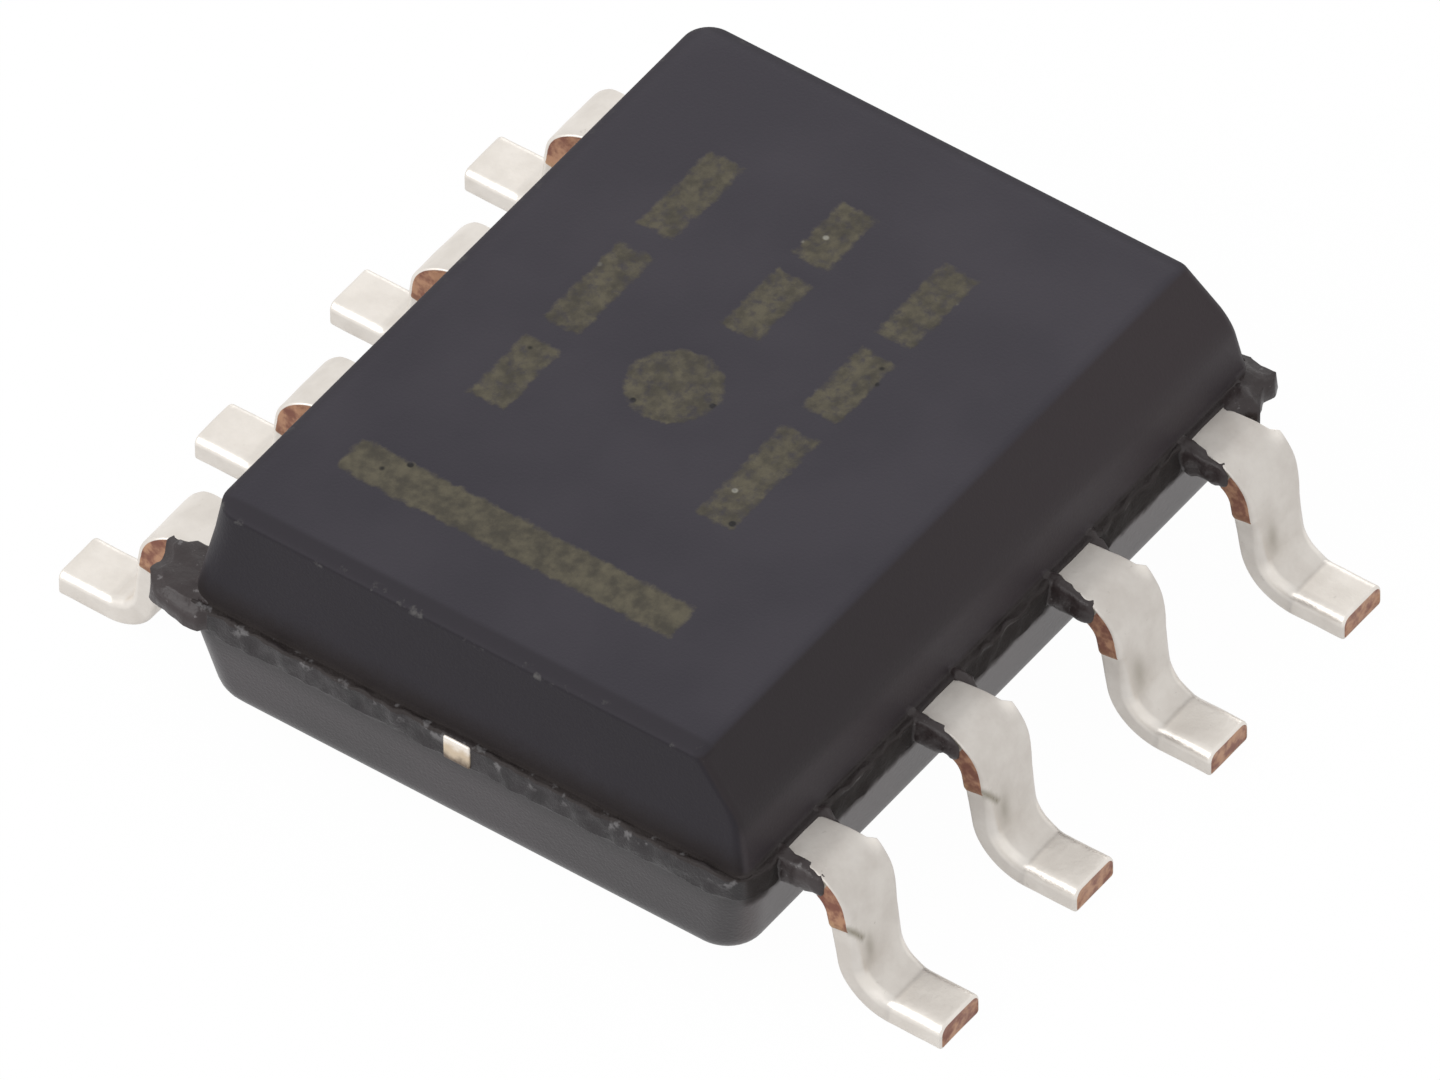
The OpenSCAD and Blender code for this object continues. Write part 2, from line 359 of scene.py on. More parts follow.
class Shader(Nodes):
    """A material's nodes. Sizes of patterns and depths of bumps are in millimetres."""

    def __init__(self, name):
        self.material = bpy.data.materials.new(name)
        super().__init__(self.material)
        self.bsdf = self.tree.nodes["Principled BSDF"]
        self.place = self.node("TexCoord")["Object"]

    def noise(self, size, detail, roughness=0.5):
        inputs = {"Vector": self.place, "Scale": 1 / (size * MM), "Detail": detail, "Roughness": roughness}
        return self.node("TexNoise", inputs)["Fac"]

    def spots(self, size):
        """Distance from the middle of scattered cells, and a random number for each cell."""
        cells = self.node("TexVoronoi", {"Vector": self.place, "Scale": 1 / (size * MM)})
        return cells["Distance"], self.node("SeparateColor", {"Color": cells["Color"]})["Red"]

    def smooth(self, value, low, high):
        """0 below low, 1 above high (or the other way round), eased between them."""
        inputs = {"Value": value, "From Min": low, "From Max": high}
        return self.node("MapRange", inputs, interpolation_type="SMOOTHSTEP")["Result"]

    def near(self, value, level, span):
        """0 at a span's first offset from a level, 1 at its second, eased between them."""
        return self.smooth(value, level + span[0] * MM, level + span[1] * MM)

    def band(self, value, low, high, spans):
        """1 between two levels, 0 beyond them, by a span at each."""
        return self.times(self.near(value, low, spans[0]), self.near(value, high, spans[1]))

    def blots(self, pattern, cut):
        """1 in the blots of a noise pattern, 0 between them."""
        return self.smooth(self.noise(*pattern), *cut)

    def frayed(self, name, pattern, cut):
        """1 where a vertex attribute is high, with its edge frayed by a noise pattern."""
        ragged = self.times(self.math("SUBTRACT", self.noise(*pattern), 0.5), FRAY)
        return self.smooth(self.math("ADD", self.attribute(name), ragged), *cut)

    def mix(self, factor, a, b):
        return self.node("Mix", {0: factor, 6: a, 7: b}, data_type="RGBA")[2]

    def blend(self, factor, a, b):
        """Between two numbers."""
        return self.node("Mix", {0: factor, 2: a, 3: b}, data_type="FLOAT")[0]

    def attribute(self, name):
        return self.node("Attribute", attribute_name=name)["Fac"]

    def bump(self, height, depth, under=None):
        """A bump whose full height is this depth, laid over another."""
        inputs = {"Height": height, "Distance": depth * MM}
        if under:
            inputs["Normal"] = under
        return self.node("Bump", inputs)["Normal"]

    def axis(self, name):
        return self.node("SeparateXYZ", {"Vector": self.place})[name]

    def by_end(self, span):
        """A mask over a span from either end of the body."""
        return self.near(self.math("ABSOLUTE", self.axis("X")), HALF_X, span)

    def uneven(self, height, pattern):
        """A height made uneven by a noise pattern."""
        return self.math("ADD", height, self.scale(self.noise(*pattern), -UNEVEN, UNEVEN))

    def finish(self, color, roughness, normal, metallic=0.0, specular=0.5):
        values = {"Base Color": color, "Roughness": roughness, "Normal": normal, "Metallic": metallic,
                  "Specular IOR Level": specular}
        for name, value in values.items():
            self.put(self.bsdf.inputs[name], value)
        return self.material


# Values of the materials: noise patterns (size, detail, roughness), cuts (two levels of a pattern) and spans
# (two offsets in mm from an edge or height). A mask goes from 0 to 1 over a cut or span and mixes two colours
FRAY = 0.7
UNEVEN = 0.05 * MM
GRAIN = (0.02, 3, 0.6)
COARSE = (0.06, 4, 0.7)
CLOUD = ((0.9, 3), (0.35, 0.65))
FLANGE_BAND = ((-0.05, 0.0), (0.04, 0.0))
END_SPAN = (-0.06, -0.05)

CHIP = ((0.11, 3, 0.6), (0.56, 0.66))
CHIP_BAND = ((-0.1, -0.04), (0.03, 0.015))
CHIP_END_SPAN = (-0.05, -0.03)
CHIP_COLOR = (0.105, 0.099, 0.1)

# Painted shade, with some resin bleed: a dark band on the end walls above the ledge, and over the flange on
# the long sides
SHADE_AND_BLEED_COLOR = (0.013, 0.009, 0.008)
DULLED_ROUGH = 0.9
SHADE_AND_BLEED_RAGGED = (0.1, 4, 0.6)
WALL_SHADE_SPAN = (0.22, 0.03)
LEDGE_SHADE_SPAN = (-0.02, -0.01)
BRIM_SHADE_SPAN = (-0.055, 0.0)
BRIM_SHADE = (0.75, 0.2)
SIDE_LOW_SPAN = (-0.15, -0.05)
SIDE_HIGH_SPAN = (-0.005, -0.03)

# A glint and a pit are (cut of the distance from a spot's middle, cut of its random number, colour); a pit's
# dark colour is painted shade
MARK_EDGE = ((0.06, 4, 0.6), (0.38, 0.68))
BURN = ((0.1, 4, 0.6), (0.3, 0.7))
BURN_COLORS = ((0.052, 0.046, 0.035), (0.106, 0.093, 0.063))
SPOT_SIZE = 0.11
GLINT = ((0.22, 0.1), (0.8, 0.82), (0.26, 0.25, 0.21))
PIT = ((0.26, 0.14), (0.12, 0.1), (0.012, 0.011, 0.01))
MARK_COARSE = 0.3
MARK_DULL = 0.5

# The bevel, the long sides, the end walls and the top take their own colours by the way they face: painted
# shade, darkest on the end walls
BEVEL_SPAN = (-0.03, -0.13)
BEVEL_COLORS = ((0.0195, 0.0145, 0.0165), (0.032, 0.024, 0.0265))
SIDE_COLORS = ((0.033, 0.026, 0.029), (0.04, 0.032, 0.035))
END_COLORS = ((0.01, 0.0075, 0.0115), (0.0125, 0.0095, 0.014))
FACE_SPAN = (-0.03, -0.008)
FACE_COLORS = ((0.0275, 0.024, 0.032), (0.0405, 0.0355, 0.0445))
NEAR_CROWN_SPAN = (0.29, 0.24)
FAR_CROWN_SPAN = (-0.24, -0.17)
BACK_CROWN_SPAN = (-0.28, -0.2)
FAR_CROWN_SHARE = 0.5
DULL_CROWN_SPAN = (-0.05, -0.005)
# Painted shade: the rounded top edge takes its own even colour
RIM_SPAN = (-0.035, -0.012)
RIM_COLOR = (0.031, 0.0275, 0.033)
WORN = ((0.13, 4, 0.65), (0.56, 0.68))
WORN_BAND = ((-0.06, -0.035), (-0.003, -0.01))
WORN_COLOR = (0.075, 0.071, 0.07)
LEDGE_COLOR = (0.028, 0.022, 0.021)
UPPER_ROUGH = (0.45, 0.6)

# The lower end walls take a darker colour than the long sides: painted shade by the way they face
LOWER_END_COLORS = ((0.013, 0.0085, 0.0105), (0.02, 0.0135, 0.0165))
LOWER_SIDE_COLOR = (0.036, 0.022, 0.023)
PATCH = ((0.12, 3, 0.6), (0.35, 0.6))
PATCH_SHARES = (0.1, 0.8)
PATCH_COLOR = (0.006, 0.0045, 0.005)
PATCH_DULL = 0.35
FADE_SPAN = (-0.22, 0.0)
FADE_SHARE = 0.55
LOWER_ROUGH = (0.26, 0.36)

RESIN = (0.12, 3)
RESIN_COLORS = ((0.024, 0.017, 0.017), (0.04, 0.03, 0.03))
RESIN_CHIP = ((0.06, 3, 0.6), (0.64, 0.72))
RESIN_CHIP_COLOR = (0.12, 0.11, 0.11)
RESIN_BUMP = (0.05, 4, 0.6)
RESIN_GLOSS = (0.08, 2)
RESIN_ROUGH = (0.3, 0.5)

TIN = (0.22, 4, 0.55)
TIN_CUT = (0.3, 0.7)
TIN_FINE = (0.03, 3, 0.6)
BRIGHT_COLORS = ((0.76, 0.715, 0.66), (0.84, 0.795, 0.74))
BRIGHT_ROUGH = (0.44, 0.56)
# The filmed colours also stand for painted shade on the near leads, the heels and the creases
FILMED_AND_SHADED_COLORS = ((0.575, 0.54, 0.505), (0.64, 0.61, 0.575))
FILMED_ROUGH = (0.58, 0.72)
EDGE_ROUGH = 0.39
STAIN = ((0.09, 4, 0.7), (0.66, 0.76))
STAIN_SHARE = 0.3
# Stains, and painted shade on the sides of the necks
STAIN_AND_SHADE_COLOR = (0.25, 0.225, 0.17)
BARE_EDGE = ((0.045, 4, 0.6), (0.42, 0.62))
STREAK = ((0.09, 3, 0.6), (0.36, 0.64))
COPPER_COLORS = ((0.25, 0.115, 0.085), (0.48, 0.28, 0.18))
BRASSY_COLORS = ((0.31, 0.18, 0.1), (0.52, 0.355, 0.2))
BRASSY_BAND = ((0.2, 0.3), (0.68, 0.54))

STAMPED = (0.15, 3, 0.6)
STAMPED_COLORS = ((0.42, 0.19, 0.1), (0.62, 0.3, 0.17))
STAMPED_BUMP = (0.04, 3)
STAMPED_ROUGH = (0.4, 0.55)
TIE = (0.07, 3, 0.6)
TIE_SPAN = (-0.02, -0.005)
TIE_LOW_SPAN = (0.0, 0.08)
TIE_LOW_COLORS = ((0.12, 0.085, 0.06), (0.6, 0.49, 0.36))
TIE_HIGH_SPAN = (-0.08, -0.02)
TIE_HIGH_COLOR = (0.82, 0.76, 0.69)

# Finishes of the pieces inside: (dark colour, light colour, size of pattern, least roughness, metallic)
SILICON = ((0.07, 0.08, 0.11), (0.14, 0.16, 0.21), 0.2, 0.15, 0.0)
ADHESIVE = ((0.32, 0.32, 0.3), (0.46, 0.46, 0.44), 0.05, 0.5, 0.0)
BOND_WIRE = ((0.55, 0.32, 0.07), (0.68, 0.42, 0.12), 0.05, 0.25, 1.0)
INNER_DETAIL = (3.0, 0.6)
INNER_DEPTH = 0.02
INNER_SPREAD = 0.1


def end_share(s):
    """1 on the walls and ledges at the two ends of the body, 0 on its long sides."""
    return s.most(s.attribute("end"), s.by_end(END_SPAN))


def chipped(s, color, height):
    """Pale chips along the upper edge of the flange, at the ends of the body."""
    rim = s.times(s.band(height, FRAME_TOP, FRAME_TOP, CHIP_BAND), s.by_end(CHIP_END_SPAN))
    return s.mix(s.times(s.blots(*CHIP), rim), color, CHIP_COLOR)


def shaded_and_soiled(s, color, height):
    """Painted shade, with some resin bleed, round the foot of the end walls and over the flange on the long
    sides,
    with chips: (colour, share that is shaded)."""
    ragged = s.uneven(height, SHADE_AND_BLEED_RAGGED)
    above = s.times(s.near(ragged, FRAME_TOP, WALL_SHADE_SPAN), s.near(height, FRAME_TOP, LEDGE_SHADE_SPAN))
    above = s.times(above, s.scale(s.by_end(BRIM_SHADE_SPAN), *BRIM_SHADE))
    below = s.times(s.near(ragged, FRAME_BOTTOM, SIDE_LOW_SPAN), s.near(height, FRAME_TOP, SIDE_HIGH_SPAN))
    ends = end_share(s)
    shade_and_bleed = s.most(s.times(above, ends), s.times(below, s.math("SUBTRACT", 1.0, ends)))
    return chipped(s, s.mix(shade_and_bleed, color, SHADE_AND_BLEED_COLOR), height), shade_and_bleed


def marked(s, color):
    """Burnt marks over a colour, with ragged edges, pits and glints: (colour, share that is marked)."""
    mark = s.frayed("mark", *MARK_EDGE)
    burnt = s.mix(s.blots(*BURN), *BURN_COLORS)
    distance, pick = s.spots(SPOT_SIZE)
    for size, chosen, spot_color in (GLINT, PIT):
        spot = s.times(s.smooth(distance, *size), s.smooth(pick, *chosen))
        burnt = s.mix(spot, burnt, spot_color)
    return s.mix(mark, color, burnt), mark


def moulded(s, color, coarse, dulled, roughness, specular):
    """Finishes mould compound with a fine grain, coarser and duller where two masks say."""
    grain = s.noise(*GRAIN)
    normal = s.bump(s.times(s.noise(*COARSE), coarse), depth=0.012, under=s.bump(grain, depth=0.0022))
    rough = s.blend(dulled, s.scale(grain, *roughness), DULLED_ROUGH)
    return s.finish(color, rough, normal, specular=specular)


def epoxy_material():
    """Matt mould compound of the upper half, with painted shade by face, at the ledge and on the top edge;
    worn at the top edge, marked.
    """
    s = Shader("epoxy")
    along, height = s.axis("X"), s.axis("Z")
    drift = s.smooth(along, -HALF_X, HALF_X)
    cloud = s.times(s.math("ADD", s.blots(*CLOUD), drift), 0.5)
    below_bevel = s.near(height, BODY_TOP - BEVEL_DROP, BEVEL_SPAN)
    # Painted shade: each face takes a colour by the way it faces
    sides = s.mix(below_bevel, s.mix(drift, *BEVEL_COLORS), s.mix(drift, *SIDE_COLORS))
    walls = s.mix(end_share(s), sides, s.mix(cloud, *END_COLORS))
    color = s.mix(s.near(height, BODY_TOP, FACE_SPAN), walls, s.mix(cloud, *FACE_COLORS))

    beyond = s.most(s.near(along, HALF_X, FAR_CROWN_SPAN), s.near(s.axis("Y"), HALF_Y, BACK_CROWN_SPAN))
    crown = s.most(s.near(along, -HALF_X, NEAR_CROWN_SPAN), s.times(beyond, FAR_CROWN_SHARE))
    # Painted shade over the rounded top edge
    color = s.mix(s.times(crown, s.near(height, BODY_TOP, RIM_SPAN)), color, RIM_COLOR)
    worn = s.times(s.times(s.band(height, BODY_TOP, BODY_TOP, WORN_BAND), crown), s.blots(*WORN))
    color = s.mix(worn, color, WORN_COLOR)
    flange = s.band(height, FRAME_BOTTOM, FRAME_TOP, FLANGE_BAND)
    color, shade_and_bleed = shaded_and_soiled(s, s.mix(flange, color, LEDGE_COLOR), height)
    color, mark = marked(s, color)
    coarse = s.math("ADD", flange, s.times(mark, MARK_COARSE))
    crown = s.times(crown, s.near(height, BODY_TOP, DULL_CROWN_SPAN))
    dulled = s.most(s.most(shade_and_bleed, crown), s.times(mark, MARK_DULL))
    return moulded(s, color, coarse, dulled, UPPER_ROUGH, specular=0.27)


def lower_epoxy_material():
    """The same compound from the parting flange down, where the mould left it smoother, with painted shade by
    face and over the flange.
    """
    s = Shader("epoxy_lower")
    height = s.axis("Z")
    flange = s.band(height, FRAME_BOTTOM, FRAME_TOP, FLANGE_BAND)
    at_end = end_share(s)
    color = s.mix(at_end, LOWER_SIDE_COLOR, s.mix(s.blots(*CLOUD), *LOWER_END_COLORS))
    patch = s.times(flange, s.scale(s.blots(*PATCH), *PATCH_SHARES))
    fade = s.times(at_end, s.near(height, FRAME_BOTTOM, FADE_SPAN))
    patch = s.most(patch, s.times(fade, FADE_SHARE))
    color, shade_and_bleed = shaded_and_soiled(s, s.mix(patch, color, PATCH_COLOR), height)
    dulled = s.most(shade_and_bleed, s.times(patch, PATCH_DULL))
    return moulded(s, color, flange, dulled, LOWER_ROUGH, specular=0.46)


def flash_material():
    """The same compound where it has bled out as thin glossy resin."""
    s = Shader("resin_flash")
    color = s.mix(s.noise(*RESIN), *RESIN_COLORS)
    color = s.mix(s.blots(*RESIN_CHIP), color, RESIN_CHIP_COLOR)
    normal = s.bump(s.noise(*RESIN_BUMP), depth=0.006)
    return s.finish(color, s.scale(s.noise(*RESIN_GLOSS), *RESIN_ROUGH), normal, specular=0.4)


def tin_material():
    """Matt tin plate, burnished at its rolled edges, with bare copper where the strip was sheared, and painted
    shade and highlights.
    """
    s = Shader("tinned_copper")
    smear = s.noise(*TIN)
    fine = s.noise(*TIN_FINE)
    dull_and_shade = s.attribute("dull_and_shade")
    patchy = s.smooth(smear, *TIN_CUT)
    color = s.mix(dull_and_shade, s.mix(patchy, *BRIGHT_COLORS), s.mix(patchy, *FILMED_AND_SHADED_COLORS))
    stain_and_shade = s.most(s.times(s.blots(*STAIN), STAIN_SHARE), s.attribute("stain_and_shade"))
    color = s.mix(stain_and_shade, color, STAIN_AND_SHADE_COLOR)

    bare = s.frayed("bare", *BARE_EDGE)
    streaked = s.blots(*STREAK)
    drawn = s.band(s.axis("Z"), 0.0, 0.0, BRASSY_BAND)
    color = s.mix(bare, color, s.mix(drawn, s.mix(streaked, *COPPER_COLORS), s.mix(streaked, *BRASSY_COLORS)))
    rough = s.blend(dull_and_shade, s.scale(fine, *BRIGHT_ROUGH), s.scale(fine, *FILMED_ROUGH))
    rough = s.blend(s.attribute("edge"), rough, EDGE_ROUGH)
    normal = s.bump(fine, depth=0.0012, under=s.bump(smear, depth=0.006))
    return s.finish(color, rough, normal, metallic=1.0)


def frame_material():
    """Stamped copper, with pale ends of the tie bars at the ends of the body."""
    s = Shader("frame_copper")
    streak = s.noise(*STAMPED)
    ragged = s.uneven(s.axis("Z"), TIE)
    cream = s.mix(s.near(ragged, FRAME_BOTTOM, TIE_LOW_SPAN), *TIE_LOW_COLORS)
    cream = s.mix(s.near(ragged, FRAME_TOP, TIE_HIGH_SPAN), cream, TIE_HIGH_COLOR)
    color = s.mix(s.by_end(TIE_SPAN), s.mix(streak, *STAMPED_COLORS), cream)
    normal = s.bump(s.noise(*STAMPED_BUMP), depth=0.003)
    return s.finish(color, s.scale(streak, *STAMPED_ROUGH), normal, metallic=0.6)


def inner_material(name, dark, light, grain, roughness, metallic):
    """A plain mottled finish for a piece sealed inside the body."""
    s = Shader(name)
    pattern = s.noise(grain, *INNER_DETAIL)
    normal = s.bump(pattern, grain * INNER_DEPTH)
    rough = s.scale(pattern, roughness, roughness + INNER_SPREAD)
    return s.finish(s.mix(pattern, dark, light), rough, normal, metallic)


# Body
def side_corners(draft, bevel):
    """The corners of a wall's upright section: [((inset, height, plan radius), reach before, reach after)].
    Every wall has as many, so that their sections can be joined round the body."""
    upper = BODY_TOP - FRAME_TOP
    base = LOWER_STEP + (FRAME_BOTTOM - BODY_BOTTOM) * tan(draft)
    waist = UPPER_STEP + (upper - BEVEL_DROP) * tan(draft)
    crown = UPPER_STEP + upper * tan(draft) + (BEVEL_RUN if bevel else 0.0)
    foot_r, waist_r, crown_r = BEVEL_RADII if bevel else PLAIN_RADII
    # A single reach counts on both sides of its corner
    corners = [
        (base + BASE_MARGIN, BODY_BOTTOM, BASE_RADIUS, 0.0),
        (base, BODY_BOTTOM, BOTTOM_RADIUS, BOTTOM_REACH),
        (LOWER_STEP, FRAME_BOTTOM, CORNER_RADIUS, INNER_REACH),
        (0.0, FRAME_BOTTOM, CORNER_RADIUS, LIP_REACH),
        (0.0, FRAME_TOP, CORNER_RADIUS, FLANGE_REACH),
        (UPPER_STEP, FRAME_TOP, foot_r, INNER_REACH),
        (waist, BODY_TOP - BEVEL_DROP, waist_r, BEVEL_LOW_REACH),
        (crown, BODY_TOP, crown_r, *(BEVEL_TOP_REACH if bevel else CROWN_REACH)),
        (crown + FACE_MARGIN, BODY_TOP, FACE_RADIUS, 0.0),
    ]
    return [(Vector(row[:3]), row[3], row[-1]) for row in corners]


def rounded_section(corners):
    """A section's points, with its corners eased and the stretches between them divided evenly."""
    points = [corners[0][0]]
    for i in range(1, len(corners)):
        corner, reach_before, reach_after = corners[i]
        before, after = corners[i - 1][0], corners[min(i + 1, len(corners) - 1)][0]
        start = corner + (before - corner).xy.normalized().to_3d() * reach_before
        finish = corner + (after - corner).xy.normalized().to_3d() * reach_after
        steps = STRETCH_STEPS[i - 1]
        points += [points[-1].lerp(start, (k + 1) / steps) for k in range(steps)]
        if reach_after:
            eased = [k / EDGE_STEPS for k in range(1, EDGE_STEPS + 1)]
            points += [start.lerp(corner, t).lerp(corner.lerp(finish, t), t) for t in eased]
    return points


def body_ring(end, near, far):
    """One ring round the body, from a point of each wall's section: [(point, outward direction)]."""
    spread_x = ceil(2 * HALF_X / RING_SPACING)
    spread_y = ceil(2 * HALF_Y / RING_SPACING)
    half_x = HALF_X - end.x
    near_y = -(HALF_Y - near.x)
    far_y = HALF_Y - far.x
    corners = [
        (Vector((half_x - near.z, near_y + near.z)), near.z, -90, near.y, end.y, spread_y),
        (Vector((half_x - far.z, far_y - far.z)), far.z, 0, end.y, far.y, spread_x),
        (Vector((far.z - half_x, far_y - far.z)), far.z, 90, far.y, end.y, spread_y),
        (Vector((near.z - half_x, near_y + near.z)), near.z, 180, end.y, near.y, spread_x),
    ]
    ring = []
    for i, (centre, radius, turn, z_from, z_to, spread) in enumerate(corners):
        for k in range(CORNER_STEPS + 1):
            share = k / CORNER_STEPS
            angle = radians(turn + 90 * share)
            out = Vector((cos(angle), sin(angle)))
            flat = centre + out * radius
            ring.append((Vector((*flat, z_from + (z_to - z_from) * share)), out.to_3d()))
        next_centre, next_radius, next_turn, next_z = corners[(i + 1) % len(corners)][:4]
        angle = radians(next_turn)
        out = Vector((cos(angle), sin(angle)))
        start, finish = ring[-1][0], Vector((*(next_centre + out * next_radius), next_z))
        ring += [(start.lerp(finish, k / spread), out.to_3d()) for k in range(1, spread)]
    return ring


def ragged_flange(point, out):
    """Pushes a point of the flange in or out, as broken flash leaves it, or up a little beside metal."""
    if not FRAME_BOTTOM - FLANGE_UNDER < point.z < FRAME_TOP + FLANGE_OVER:
        return point
    loose = 1.0
    if abs(out.y) > STRAIGHT:
        column = round(point.x / PITCH + 0.5) - 0.5
        loose = (abs(point.x - column * PITCH) - NECK_HALF) / CALM_REACH
    elif abs(out.x) > STRAIGHT:
        loose = (abs(point.y) - TIE_HALF) / CALM_REACH
    loose = clamp(loose)
    inset = min(HALF_X - abs(point.x), HALF_Y - abs(point.y))
    ledge = UPPER_STEP - INNER_REACH
    broken = loose * clamp((ledge - inset) / (ledge - FLANGE_REACH))
    push = waves(point, FLANGE_WIDE) + waves(point, FLANGE_FINE)
    lift = 0.0
    if point.z > FRAME_TOP - FLANGE_OVER:
        lift = SILL * (1 - loose) + max(waves(point, FLANGE_LIFT), FLANGE_DIP) * MM * broken
    return point + out * push * broken * MM + Vector((0, 0, lift))


def distance_to_block(x, y, block):
    """Signed distance, in millimetres, to a plain field with square corners."""
    dx = abs(x - block[0]) - block[2]
    dy = abs(y - block[1]) - block[3]
    return hypot(max(dx, 0.0), max(dy, 0.0)) + min(max(dx, dy), 0.0)


def mark_at(point):
    """0 outside every mark and 1 inside the bar, through a half at its edge; less inside the others."""
    x, y = point.x / MM, point.y / MM
    distances = [distance_to_block(x, y, block) for block in MARK_BLOCKS]
    distances.append(hypot(x - MARK_DISC[0], y - MARK_DISC[1]) - MARK_DISC[2])
    faint = min(0.5 - 0.5 * min(distances) * MM / MARK_REACH, FAINT_MARK)
    return clamp(max(0.5 - 0.5 * distance_to_block(x, y, MARK_BAR) * MM / MARK_REACH, faint))


def fill_flat(loop, spacing, hole=()):
    """A grid of new points between a level loop and a hole, and triangles that join them: (new points, faces).
    Faces count the loop's points first, then the hole's, then the new ones."""
    size, hole_size = len(loop), len(hole)
    edges = [(i, (i + 1) % size) for i in range(size)]
    edges += [(size + i, size + (i + 1) % hole_size) for i in range(hole_size)]
    left, right = min(p.x for p in loop), max(p.x for p in loop)
    front, back = min(p.y for p in loop), max(p.y for p in loop)
    inset = GRID_INSET * spacing
    grid = []
    for i in range(1, int((right - left) / spacing)):
        for k in range(1, int((back - front) / spacing)):
            x = left + i * spacing
            y = front + k * spacing
            clear = left + inset < x < right - inset and front + inset < y < back - inset
            if clear and not (hole and hypot(x, y) < EJECTOR_RADIUS + spacing):
                grid.append(Vector((x, y)))
    flat = [p.xy for p in (*loop, *hole)]
    _, _, faces, origins, _, _ = delaunay_2d_cdt(flat + grid, edges, [], INSIDE_ONLY, MERGE_DISTANCE)
    faces = [tuple(origins[i][0] for i in face) for face in faces]
    over_hole = set(range(size, size + hole_size))
    faces = [face for face in faces if not over_hole.issuperset(face)]
    return [Vector((*p, loop[0].z)) for p in grid], faces


def body_mesh():
    """Points and faces of the moulding, without the flash."""
    end = rounded_section(side_corners(END_DRAFT, False))
    near = rounded_section(side_corners(SIDE_DRAFT, True))
    far = rounded_section(side_corners(SIDE_DRAFT, False))
    rings = [body_ring(*levels) for levels in zip(end, near, far)]
    count = len(rings[0])
    verts = [ragged_flange(point, out) for ring in rings for point, out in ring]
    faces = loft_faces(len(rings), count)

    top_start = (len(rings) - 1) * count
    new, top_faces = fill_flat(verts[top_start:], TOP_SPACING)
    base = len(verts)
    faces += [tuple(top_start + i if i < count else base + i - count for i in face) for face in top_faces]
    for point in new:
        depth = mark_at(point) * (MARK_RELIEF + waves(point, MARK_WAVES)) * MARK_DEPTH
        verts.append(point - Vector((0, 0, depth)))

    turns = [2 * pi * k / EJECTOR_SIDES for k in range(EJECTOR_SIDES)]
    levels = [
        (EJECTOR_RADIUS + EJECTOR_EDGE, 0.0), (EJECTOR_RADIUS, 0.0),
        (EJECTOR_RADIUS, EJECTOR_DEPTH), (EJECTOR_RADIUS - EJECTOR_EDGE, EJECTOR_DEPTH),
    ]
    mark = [Vector((radius * cos(turn), radius * sin(turn), BODY_BOTTOM + depth))
            for radius, depth in levels for turn in turns]
    new, low_faces = fill_flat(verts[:count], BASE_SPACING, mark[:EJECTOR_SIDES])
    base = len(verts)
    after = base + len(mark)
    places = [*range(count), *range(base, base + EJECTOR_SIDES), *range(after, after + len(new))]
    faces += [tuple(places[i] for i in face) for face in low_faces]
    faces += [tuple(base + i for i in face) for face in loft_faces(len(levels), EJECTOR_SIDES)]
    faces.append(tuple(range(after - EJECTOR_SIDES, after)))
    return verts + mark + new, faces


def closed_loft(verts, count):
    """Points in rings of this count, with the faces between the rings and over both ends."""
    caps = [tuple(range(count)), tuple(range(len(verts) - count, len(verts)))]
    return verts, caps + loft_faces(len(verts) // count, count)


def resin_web(x, side, hand, seed):
    """Points and faces of the resin left beside a neck: thick at the body, thin and low at its tip."""
    verts = []
    reach, fall, tip_overlap, tip_width = (size * MM for size in WEB_HANDS[hand])
    reach = reach if side < 0 else WEB_FAR_REACH
    inner, outer = NECK_HALF - WEB_OVERLAP, NECK_HALF + WEB_WIDTH
    root = FRAME_BOTTOM - WEB_UNDER
    for step in range(WEB_STEPS + 1):
        share = step / WEB_STEPS
        y = HALF_Y - WEB_ROOT + (reach + WEB_ROOT) * sin(share * pi / 2)
        out = max(y - HALF_Y, 0.0) / reach
        inside = inner + (FLARE[hand][1] - tip_overlap - inner) * out
        outside = outer + (inside + tip_width - outer) * out ** 2
        top = FRAME_TOP + WEB_RISE - fall * out
        bottom = root + (top - WEB_TIP_HEIGHT - root) * out ** 2
        close = sqrt(max(1 - share ** WEB_BLUNT_TIP, 0.0)) if step < WEB_STEPS else 0.0
        for k in range(WEB_SIDES):
            angle = 2 * pi * k / WEB_SIDES
            c, s = cos(angle), sin(angle)
            blunt = (abs(c) ** WEB_BLUNT + abs(s) ** WEB_BLUNT) ** (-1 / WEB_BLUNT)
            across = (inside + outside) / 2 + c * blunt * close * (outside - inside) / 2
            z = (top + bottom) / 2 + s * blunt * close * (top - bottom) / 2
            point = Vector((x + hand * across, side * y, z))
            rough = waves(point, WEB_WAVES, seed) + waves(point, WEB_RIPPLES, seed)
            verts.append(point + Vector((hand * c, 0, s)) * rough * close * MM)
    return closed_loft(verts, WEB_SIDES)


def pin_place(pin):
    """(x, side) of a pin: pins count along the -Y side and back along the +Y side."""
    side = -1 if pin <= PINS_PER_SIDE else 1
    column = pin - 1 if side < 0 else PINS - pin
    return (column - (PINS_PER_SIDE - 1) / 2) * PITCH, side


